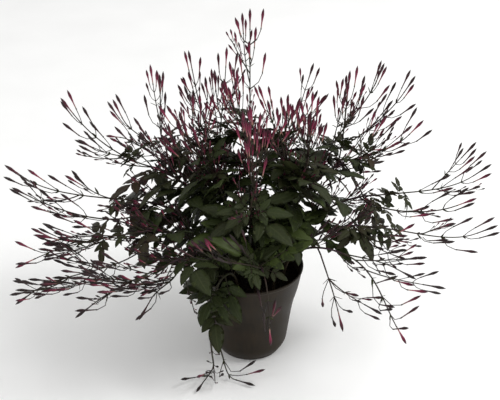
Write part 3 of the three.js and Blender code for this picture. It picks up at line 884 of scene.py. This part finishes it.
def bud_shapes(buds, tints):
    """All buds at once. A side stalk bends from its way out to the bud's way ahead, by (1-t)^2 a + 2(1-t)t b
    + t^2 c, and the bud carries straight on from there. A bud's radii follow its length to the power 0.6."""
    start, out, ahead = (np.array([bud[key] for bud in buds])[:, None] for key in ("start", "out", "ahead"))
    stalk, length = (np.array([bud[key] for bud in buds])[:, None, None] for key in ("stalk", "length"))
    neck = start + out * stalk
    bend = neck - ahead * 0.5 * stalk
    t = np.minimum(bud_stations, 1)[None, :, None]
    s = np.maximum(bud_stations - 1, 0)[None, :, None]
    path = (1 - t) ** 2 * start + 2 * (1 - t) * t * bend + t**2 * neck + ahead * length * s
    radii = bud_radii * (length[:, :, 0] / bud_length) ** 0.6
    rings = rod_rings(path, radii, thin_sides)
    return loft(rings, stations=bud_stations / 2, tint=tints, material=petal_slot)


def bud_tints_and_painted_light(buds, draw):
    """How far each bud has coloured: 0.8 of a cubed draw, so that most low ones in the shade are still dusky,
    and 0.55 (z - 180) / 110 * (1.2 - r / 200) more at height z and r from the plant's axis. This tint also
    sets painted light: buds high in the crown and near the axis are painted up to twice as bright."""
    start = np.array([bud["start"] for bud in buds])
    # Partly painted light: buds high in the crown and near the axis get more tint, which also paints them
    # brighter.
    height = np.clip((start[:, 2] - 180) / 110, 0, 1)
    inward = np.clip(1.2 - np.hypot(start[:, 0], start[:, 1]) / 200, 0.2, 1)
    return 0.8 * np.array([draw() for _ in buds]) ** 3 + 0.55 * height * inward


def young_twigs(arch, count, least, draw):
    """Thin side twigs beyond the place least of an arch, each with eight young buds two and two."""
    rods, buds = [], []
    for _ in range(count):
        root, tangent = curve_point(arch, least + draw(0, twig_stretch))
        twig = twig_arch(root, tangent, draw(*young_twig_reach), draw(*young_twig_rise), draw)
        rods.append(bezier(twig, np.linspace(0, 1, twig_rings)))
        for item in range(2 * len(young_bud_places)):
            bud = bud_rule(*curve_point(twig, young_bud_places[item // 2]), item, 0, draw)
            bud["stalk"] *= draw(*young_bud_stalk)
            bud["length"] = draw(*young_bud_length)
            buds.append(bud)
    rings = rod_rings(np.stack(rods), np.linspace(*young_twig_radii, twig_rings), thin_sides)
    return [loft(rings), bud_shapes(buds, young_bud_tint * bud_tints_and_painted_light(buds, draw))]


def jasmine_wood():
    """Young jasmine wood: brown bark at the foot that turns to green and purple skin, mottled and rough in
    spots 6 mm long."""
    material, tree, shader = new_material("jasmine_wood", 0.25)
    growth = add_node(tree, "UVMap", {"uv_map": "growth"}).outputs["UV"]
    place = add_node(tree, "TexCoord").outputs["Object"]
    along = add_node(tree, "SeparateXYZ", inputs={"Vector": growth})
    mottle = add_node(tree, "TexNoise", inputs={"Vector": place, "Scale": cells(6.25), "Detail": 4.0})
    shifted = add_node(
        tree,
        "Math",
        {"operation": "MULTIPLY_ADD"},
        {0: mottle.outputs["Fac"], 1: 0.35, 2: along.outputs["Y"]},
    )
    colour = add_node(
        tree,
        "ValToRGB",
        inputs={"Fac": shifted.outputs[0]},
        stops=[(0.25, "#332a1e"), (0.55, "#2c2f1b"), (0.85, "#2a211a"), (1.0, "#311f27")],
    )
    bump = add_node(
        tree, "Bump", inputs={"Height": mottle.outputs["Fac"], "Strength": 0.5, "Distance": 0.0004}
    )
    tree.links.new(colour.outputs["Color"], shader.inputs["Base Color"])
    tree.links.new(bump.outputs["Normal"], shader.inputs["Normal"])
    shader.inputs["Roughness"].default_value = 0.62
    return material


def leaf_skin(name, stops, rib_code, roughness, specular):
    """Leaf tissue: mottled in spots 11 mm wide, with a paler midrib and seven pairs of side veins that run
    from it towards the point. Its colour goes from bronze to green with the leaf's tint."""
    material, tree, shader = new_material(name, specular)
    growth = add_node(tree, "UVMap", {"uv_map": "growth"}).outputs["UV"]
    place = add_node(tree, "TexCoord").outputs["Object"]
    tint = add_node(tree, "Attribute", {"attribute_name": "tint"}).outputs["Fac"]
    part = add_node(tree, "SeparateXYZ", inputs={"Vector": growth})
    mottle = add_node(tree, "TexNoise", inputs={"Vector": place, "Scale": cells(11.1), "Detail": 4.0})
    shade = add_node(
        tree, "Math", {"operation": "MULTIPLY_ADD"}, {0: mottle.outputs["Fac"], 1: 0.4, 2: tint}
    )
    green = add_node(tree, "ValToRGB", inputs={"Fac": shade.outputs[0]}, stops=stops)
    offset = add_node(tree, "Math", {"operation": "SUBTRACT"}, {0: part.outputs["X"], 1: 0.5})
    outward = add_node(tree, "Math", {"operation": "ABSOLUTE"}, {0: offset.outputs[0]})
    rib = add_node(
        tree,
        "MapRange",
        inputs={
            "Value": outward.outputs[0], "From Min": 0.02, "From Max": 0.06, "To Min": 0.45, "To Max": 0.0
        },
    )
    slant = add_node(
        tree, "Math", {"operation": "MULTIPLY_ADD"}, {0: outward.outputs[0], 1: -0.55, 2: part.outputs["Y"]}
    )
    waves = 2 * math.pi * vein_pairs
    rows = add_node(tree, "Math", {"operation": "MULTIPLY"}, {0: slant.outputs[0], 1: waves})
    wave = add_node(tree, "Math", {"operation": "SINE"}, {0: rows.outputs[0]})
    vein = add_node(
        tree,
        "MapRange",
        inputs={"Value": wave.outputs[0], "From Min": 0.8, "From Max": 1.0, "To Min": 0.0, "To Max": 0.3},
    )
    lines = add_node(
        tree, "Math", {"operation": "MAXIMUM"}, {0: rib.outputs["Result"], 1: vein.outputs["Result"]}
    )
    colour = add_node(
        tree,
        "Mix",
        {"data_type": "RGBA"},
        {"Factor": lines.outputs[0], 6: green.outputs["Color"], 7: linear_colour(rib_code)},
    )
    bump = add_node(
        tree, "Bump", {"invert": True}, {"Height": lines.outputs[0], "Strength": 0.6, "Distance": 0.0004}
    )
    tree.links.new(colour.outputs[2], shader.inputs["Base Color"])
    tree.links.new(bump.outputs["Normal"], shader.inputs["Normal"])
    shader.inputs["Roughness"].default_value = roughness
    return material


def jasmine_petal():
    """Furled petals: green cup, tube from dusty pink to rose, crimson bud with a darker point, twisted seams
    where the five petals overlap, and a satin bloom. Dusky purple brown while young. A higher tint also makes
    the bud up to twice as bright: partly the paler pink of riper buds, partly painted light on the crown."""
    material, tree, shader = new_material("jasmine_petal", 0.2)
    growth = add_node(tree, "UVMap", {"uv_map": "growth"}).outputs["UV"]
    tint = add_node(tree, "Attribute", {"attribute_name": "tint"}).outputs["Fac"]
    part = add_node(tree, "SeparateXYZ", inputs={"Vector": growth})
    colour = add_node(
        tree,
        "ValToRGB",
        inputs={"Fac": part.outputs["Y"]},
        stops=[
            (0.0, "#211a16"), (0.5, "#241b18"), (0.515, "#28271b"), (0.545, "#4a4030"), (0.57, "#8d6d60"),
            (0.64, "#885159"), (0.73, "#722a40"), (0.84, "#5b1b30"), (0.92, "#3c1421"), (1.0, "#211116"),
        ],
    )  # fmt: skip
    twist = add_node(
        tree, "Math", {"operation": "MULTIPLY_ADD"}, {0: part.outputs["Y"], 1: 1.6, 2: part.outputs["X"]}
    )
    seams = 2 * math.pi * petal_count
    lobes = add_node(tree, "Math", {"operation": "MULTIPLY"}, {0: twist.outputs[0], 1: seams})
    wave = add_node(tree, "Math", {"operation": "SINE"}, {0: lobes.outputs[0]})
    seam = add_node(
        tree,
        "MapRange",
        inputs={"Value": wave.outputs[0], "From Min": 0.4, "From Max": 1.0, "To Min": 0.0, "To Max": 0.45},
    )
    seamed = add_node(
        tree,
        "Mix",
        {"data_type": "RGBA"},
        {"Factor": seam.outputs["Result"], 6: colour.outputs["Color"], 7: linear_colour("#3c1222")},
    )
    young = add_node(
        tree,
        "MapRange",
        inputs={"Value": tint, "From Min": 0.05, "From Max": 0.6, "To Min": 0.95, "To Max": 0.0},
    )
    aged = add_node(
        tree,
        "Mix",
        {"data_type": "RGBA"},
        {"Factor": young.outputs["Result"], 6: seamed.outputs[2], 7: linear_colour("#2a2322")},
    )
    # Partly painted light: brightness rises with the tint, and so with a bud's height in the crown.
    value = add_node(tree, "MapRange", inputs={"Value": tint, "To Min": 0.85, "To Max": 1.7})
    brightened_by_painted_light = add_node(
        tree, "HueSaturation", inputs={"Value": value.outputs["Result"], "Color": aged.outputs[2]}
    )
    bump = add_node(
        tree,
        "Bump",
        {"invert": True},
        {"Height": seam.outputs["Result"], "Strength": 0.6, "Distance": 0.0003},
    )
    tree.links.new(brightened_by_painted_light.outputs["Color"], shader.inputs["Base Color"])
    tree.links.new(bump.outputs["Normal"], shader.inputs["Normal"])
    shader.inputs["Roughness"].default_value = 0.5
    return material


wood, petal = jasmine_wood(), jasmine_petal()
leaf_top = leaf_skin(
    "jasmine_leaf_upper",
    stops=[
        (0.0, "#38251e"), (0.25, "#31261c"), (0.45, "#292818"), (0.7, "#262c16"), (1.05, "#2a3318"),
        (1.3, "#38431e"),
    ],
    rib_code="#3a3f26",
    roughness=0.5,
    specular=0.15,
)  # fmt: skip
leaf_under = leaf_skin(
    "jasmine_leaf_underside",
    stops=[(0.0, "#3e2b23"), (0.3, "#342a1f"), (0.5, "#2e2d1c"), (0.8, "#2d341b"), (1.35, "#3a4421")],
    rib_code="#42462c",
    roughness=0.7,
    specular=0.08,
)

solid_points = {}
for solid_name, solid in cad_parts.items():
    flat = np.empty(3 * len(solid.data.vertices), dtype=np.float32)
    solid.data.vertices.foreach_get("co", flat)
    solid_points[solid_name] = flat.reshape(-1, 3) / mm


def stands(node, point):
    """True if the solid has a corner at this point, so the leaf or bud that ends there is the one it grew."""
    return np.abs(solid_points[node] - point).max(axis=1).min() < corner_play


def grown_leaves(node, seed, arch, leaves):
    """The leaves that the solid stem has. At each place the growth rule is tried until the leaf's tip is a
    corner of the solid, and the leaf is rooted there in the smooth stem."""
    pairs, first, last = leaves
    shapes = []
    for item in range(2 * pairs):
        pair, side = item // 2, 1 if item % 2 else -1
        along = first + (last - first) * (pair / max(pairs - 1, 1))
        start, tangent = step_point(arch, stem_steps, along)
        for turn in range(leaf_tries):
            item_seed = seed + seed_item * item + turn
            leaf = leaf_rule(start, tangent, outward_of(arch), pair, side, draws(item_seed))
            leaf["size"] *= 1 if turn < full_size_tries else late_leaf_size
            if stands(node, leaf_tip(leaf)):
                leaf["start"] = curve_point(arch, along)[0]
                shapes += leaf_shapes(leaf, draws(item_seed + seed_look))
                break
    return shapes


for stem_number, (stem_name, row) in enumerate(stems.items()):
    node = "stem_" + stem_name
    seed = seed_stem * stem_number
    arch = stem_arch(row)
    draw = draws(seed + seed_filling)
    heights = (row["low"] + small_leaf_clear, math.inf)
    shapes = [stem_shape(arch, row["leaves"])]
    shapes += grown_leaves(node, seed, arch, row["leaves"])
    shapes += small_leaves(
        arch, outward_of(arch), row["filling"], small_leaf_stretch, small_leaf_size, heights, draw
    )
    if row["twigs"]:
        shapes += young_twigs(arch, row["twigs"], young_twigs_from, draw)
    leafy_stem = make_piece("leafy_" + node, shapes, [wood, leaf_top, leaf_under, petal])
    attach(leafy_stem, "root")
    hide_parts(node)

# ---- Flower sprays ----
# Wiry dark stalks, seated on the stems, that branch two and two with a pair of narrow bracts at each fork.
# Every branch ends in an unopened bud: a small green cup, a thin flower tube and furled petals, pink to
# crimson.

axis_base_radius = 0.95
axis_thinning = 0.35  # from the foot of a stalk to its end
axis_swelling = 1.05  # radius of the stalk against that of the solid one
axis_steps = 4  # straight steps of the solid stalk, which the solid buds are rooted in
axis_rings = 18
axis_sides = 6
bud_tries = 10
buds_from = 0.3  # the share of the stalk where side buds begin
buds_to = 0.96
node_step = 28.0  # along the stalk, from one pair of side buds to the next
trace_points = 201  # along which the stalk's length is measured
spray_end_stalk = 2.0
seat_gap = 0.4  # between the solid stalk and the stem that it is seated on
end_gap = 0.75  # the same where it carries on from the stem's end
climbing_turn = 0.45  # how a spray that climbs turns up at its end
hanging_turn = -0.2  # the same of one that hangs, which turns down
lying_height = 10.0  # a spray that ends lower than this lies along the surface
rooted_back = 0.02  # a stalk grows out of the middle of its stem, this share of the stem before its seat
seed_spray = 99

# Second buds on a side stalk that carries one already: how likely on the plant's axis, at the least and at
# the most, how far out from the axis the chance falls by one, where they leave the side stalk, and how they
# turn and grow.
second_chance = 0.75
second_chance_limits = (0.08, 0.6)
second_reach = 100.0
second_place = (0.3, 0.6)
second_way_out = (-1, 1)
second_way_ahead = (-0.35, 0.35)
second_stalk = (5, 12)
second_length = (0.55, 0.95)

# Side twigs with full buds: their reach and rise, where their four side buds stand, how these grow, the
# stalk of the end bud, the twig's radii, and how far above the floor all buds stay.
spray_twig_reach = (24, 60)
spray_twig_rise = (0.3, 0.7)
twig_bud_places = (0.62, 0.88)
twig_bud_stalk = 0.7
twig_bud_length = (0.6, 1)
twig_end_stalk = 5.0
twig_radii = (0.75, 0.55)
floor_clear = 3.0

# Young twigs: one for every five of the stem's own, from near the spray's foot.
stem_twigs_for_one = 5
spray_young_from = 0.05

# Bracts: how long, their half width as a share of that, their droop, and their play round the branch in
# radians.
bract_length = (5, 12)
bract_half = 0.13
bract_droop = 0.2
bract_play = (-0.4, 0.4)

# Small leaves near the spray's foot: the stretch they grow on, their size, and between which heights: so far
# above the stem's own low, and below the leaf line.
spray_leaf_stretch = (0.02, 0.35)
spray_leaf_size = (0.35, 0.6)
spray_leaf_clear = 20.0
leaf_line = 275.0


def spray_arch(arch, along, point):
    """The four points of a spray's main stalk. It leaves the stem sideways, or carries on from the stem's
    end, for 0.3 of its span, and turns up or down to its end bud over the last quarter."""
    start, tangent = step_point(arch, stem_steps, along)
    leaving = tangent
    if along < 1:
        side = point - start
        side = unit(side - tangent * (side @ tangent))
        radius = stem_base_radius + (stem_tip_radius - stem_base_radius) * along
        start = start + side * (radius + seat_gap + 0.7 * axis_base_radius)
        leaving = unit(tangent * 0.5 + side)
    else:
        start = start + tangent * end_gap
    span = np.linalg.norm(point - start)
    arrival = unit(point - start)
    arrival[2] += climbing_turn if point[2] > start[2] else hanging_turn
    if point[2] < lying_height:
        arrival[2] = 0
    arrival = unit(arrival)
    end = point - arrival * bud_length
    return start, start + leaving * 0.3 * span, end - arrival * 0.25 * span, end


def end_bud(start, ahead, stalk):
    """A full bud that carries straight on from the end of a branch."""
    return {"start": start, "out": ahead, "ahead": ahead, "stalk": stalk, "length": bud_length}


def grown_buds(node, seed, arch, count):
    """The side buds that the solid spray has. At each place the growth rule is tried until the bud's point is
    a corner of the solid, and the bud is rooted there in the smooth stalk."""
    buds = []
    for item in range(2 * count):
        place = buds_from + (buds_to - buds_from) * (item // 2 + 0.5) / count
        start, tangent = step_point(arch, axis_steps, place)
        for turn in range(bud_tries):
            bud = bud_rule(start, tangent, item, 1 - place, draws(seed + seed_item * item + turn))
            if stands(node, bud_point(bud)):
                buds.append(bud | {"start": curve_point(arch, place)[0]})
                break
    return buds


def second_buds(buds, draw):
    """Smaller buds that share a side stalk, more often in the crown than further out: the chance is 0.75 -
    r / 100 at r from the plant's axis, from 0.08 to 0.6."""
    seconds = []
    for bud in buds:
        chance = second_chance - np.hypot(*bud["start"][:2]) / second_reach
        if draw() < np.clip(chance, *second_chance_limits):
            across = unit(np.cross(bud["ahead"], bud["out"] + 0.01))
            seconds.append({
                "start": bud["start"] + bud["out"] * bud["stalk"] * draw(*second_place) - bud["ahead"] * 0.3,
                "out": unit(bud["out"] + across * draw(*second_way_out)),
                "ahead": unit(bud["ahead"] + across * draw(*second_way_ahead)),
                "stalk": draw(*second_stalk),
                "length": bud_length * draw(*second_length),
            })
    return seconds


def spray_twigs(arch, count, least, draw):
    """Side twigs beyond the place least of a spray: for each its arch and its buds, four at its sides and one
    at its end. A twig whose buds pass the solids' own box is left out."""
    twigs = []
    for _ in range(count):
        root, tangent = curve_point(arch, least + draw(0, twig_stretch))
        twig = twig_arch(root, tangent, draw(*spray_twig_reach), draw(*spray_twig_rise), draw)
        buds = []
        for item in range(2 * len(twig_bud_places)):
            start, tangent = curve_point(twig, twig_bud_places[item // 2])
            bud = bud_rule(start, tangent, item, 0, draw)
            bud["stalk"] *= twig_bud_stalk
            bud["length"] *= draw(*twig_bud_length)
            buds.append(bud)
        ahead = unit(twig[3] - twig[2])
        buds.append(end_bud(twig[3] - ahead, ahead, twig_end_stalk))
        points = np.array([bud_point(bud) for bud in buds])
        if (points > solid_low + floor_clear * up).all() and (points < solid_high).all():
            twigs.append((twig, buds))
    return twigs


def bract_blades(start, tangent, length, draw):
    """A pair of narrow bracts at a fork, each a leaf of one blade."""
    level = unit(np.cross(tangent, up))
    blades = []
    for side in (0, math.pi):
        radial = turned_about(level, tangent, side + draw(*bract_play))
        ahead = unit(tangent * 0.7 + radial)
        across = unit(np.cross(tangent, radial))
        axes = np.array([ahead, across, np.cross(ahead, across)])
        bract = {"start": start, "axes": axes, "size": 1, "pairs": 0, "droop": bract_droop}
        blades.append(leaflet(bract, (0, 0), 0.0, length, bract_half * length, 0.0))
    return blades


def jasmine_stalk():
    """Wiry green stalks that the sun has flushed dark purple, in patches 18 mm long."""
    material, tree, shader = new_material("jasmine_stalk", 0.2)
    place = add_node(tree, "TexCoord").outputs["Object"]
    flush = add_node(tree, "TexNoise", inputs={"Vector": place, "Scale": cells(18.2), "Detail": 3.0})
    colour = add_node(
        tree,
        "ValToRGB",
        inputs={"Fac": flush.outputs["Fac"]},
        stops=[(0.3, "#272817"), (0.5, "#292218"), (0.7, "#2d1e1b")],
    )
    tree.links.new(colour.outputs["Color"], shader.inputs["Base Color"])
    shader.inputs["Roughness"].default_value = 0.55
    return material


solid_low, solid_high = np.array(cad_low) / mm, np.array(cad_high) / mm
stalk_skin = jasmine_stalk()
sprays = [(name, i, row) for name, row in stems.items() for i in range(len(row["sprays"]))]
for spray_number, (stem_name, i, row) in enumerate(sprays):
    node = f"spray_{stem_name}_{i + 1}"
    seed = seed_stem * (spray_number + len(stems))
    draw = draws(seed + seed_spray)
    stem = stem_arch(row)
    along, point, twig_count, twigs_from = row["sprays"][i]
    arch = spray_arch(stem, along, np.array(point, dtype=float))
    trace = bezier(arch, np.linspace(0, 1, trace_points))
    stalk_length = np.linalg.norm(np.diff(trace, axis=0), axis=1).sum()
    count = max(2, round(stalk_length * (buds_to - buds_from) / node_step))
    arrival = unit(point - arch[3])
    side_buds = grown_buds(node, seed, arch, count)
    buds = [end_bud(arch[3] - arrival * spray_end_stalk, arrival, spray_end_stalk)]
    buds += side_buds + second_buds(side_buds, draw)
    twigs = spray_twigs(arch, twig_count, twigs_from, draw)
    forks = [curve_point(arch, buds_from + (buds_to - buds_from) * (k + 0.5) / count) for k in range(count)]
    for twig, twig_buds in twigs:
        buds += twig_buds
        forks.append(curve_point(twig, 0.5))

    steps = np.linspace(0, 1, axis_rings)
    path = bezier(arch, steps)
    path[0] = curve_point(stem, along - rooted_back)[0]
    radius = axis_swelling * (axis_base_radius - axis_thinning * steps)
    blades = []
    for start, tangent in forks:
        blades += bract_blades(start, tangent, draw(*bract_length), draw)
    shapes = [
        loft(rod_rings(path[None], radius, axis_sides)),
        loft(np.stack(blades), turns=blade_turns, tint=draw(0.0, 0.7), material=blade_faces),
        bud_shapes(buds, bud_tints_and_painted_light(buds, draw)),
    ]
    if twigs:
        rods = np.stack([bezier(twig, np.linspace(0, 1, twig_rings)) for twig, _ in twigs])
        shapes.append(loft(rod_rings(rods, np.linspace(*twig_radii, twig_rings), thin_sides)))
    if row["twigs"] >= stem_twigs_for_one:
        shapes += young_twigs(arch, row["twigs"] // stem_twigs_for_one, spray_young_from, draw)
    heights = (row["low"] + spray_leaf_clear, leaf_line)
    outward, leaf_count = outward_of(stem), row.get("spray_leaves", 3)
    shapes += small_leaves(
        arch, outward, leaf_count, spray_leaf_stretch, spray_leaf_size, heights, draw, pairs=1
    )
    spray = make_piece("flower_" + node, shapes, [stalk_skin, leaf_top, leaf_under, petal])
    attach(spray, "root")
    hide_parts(node)
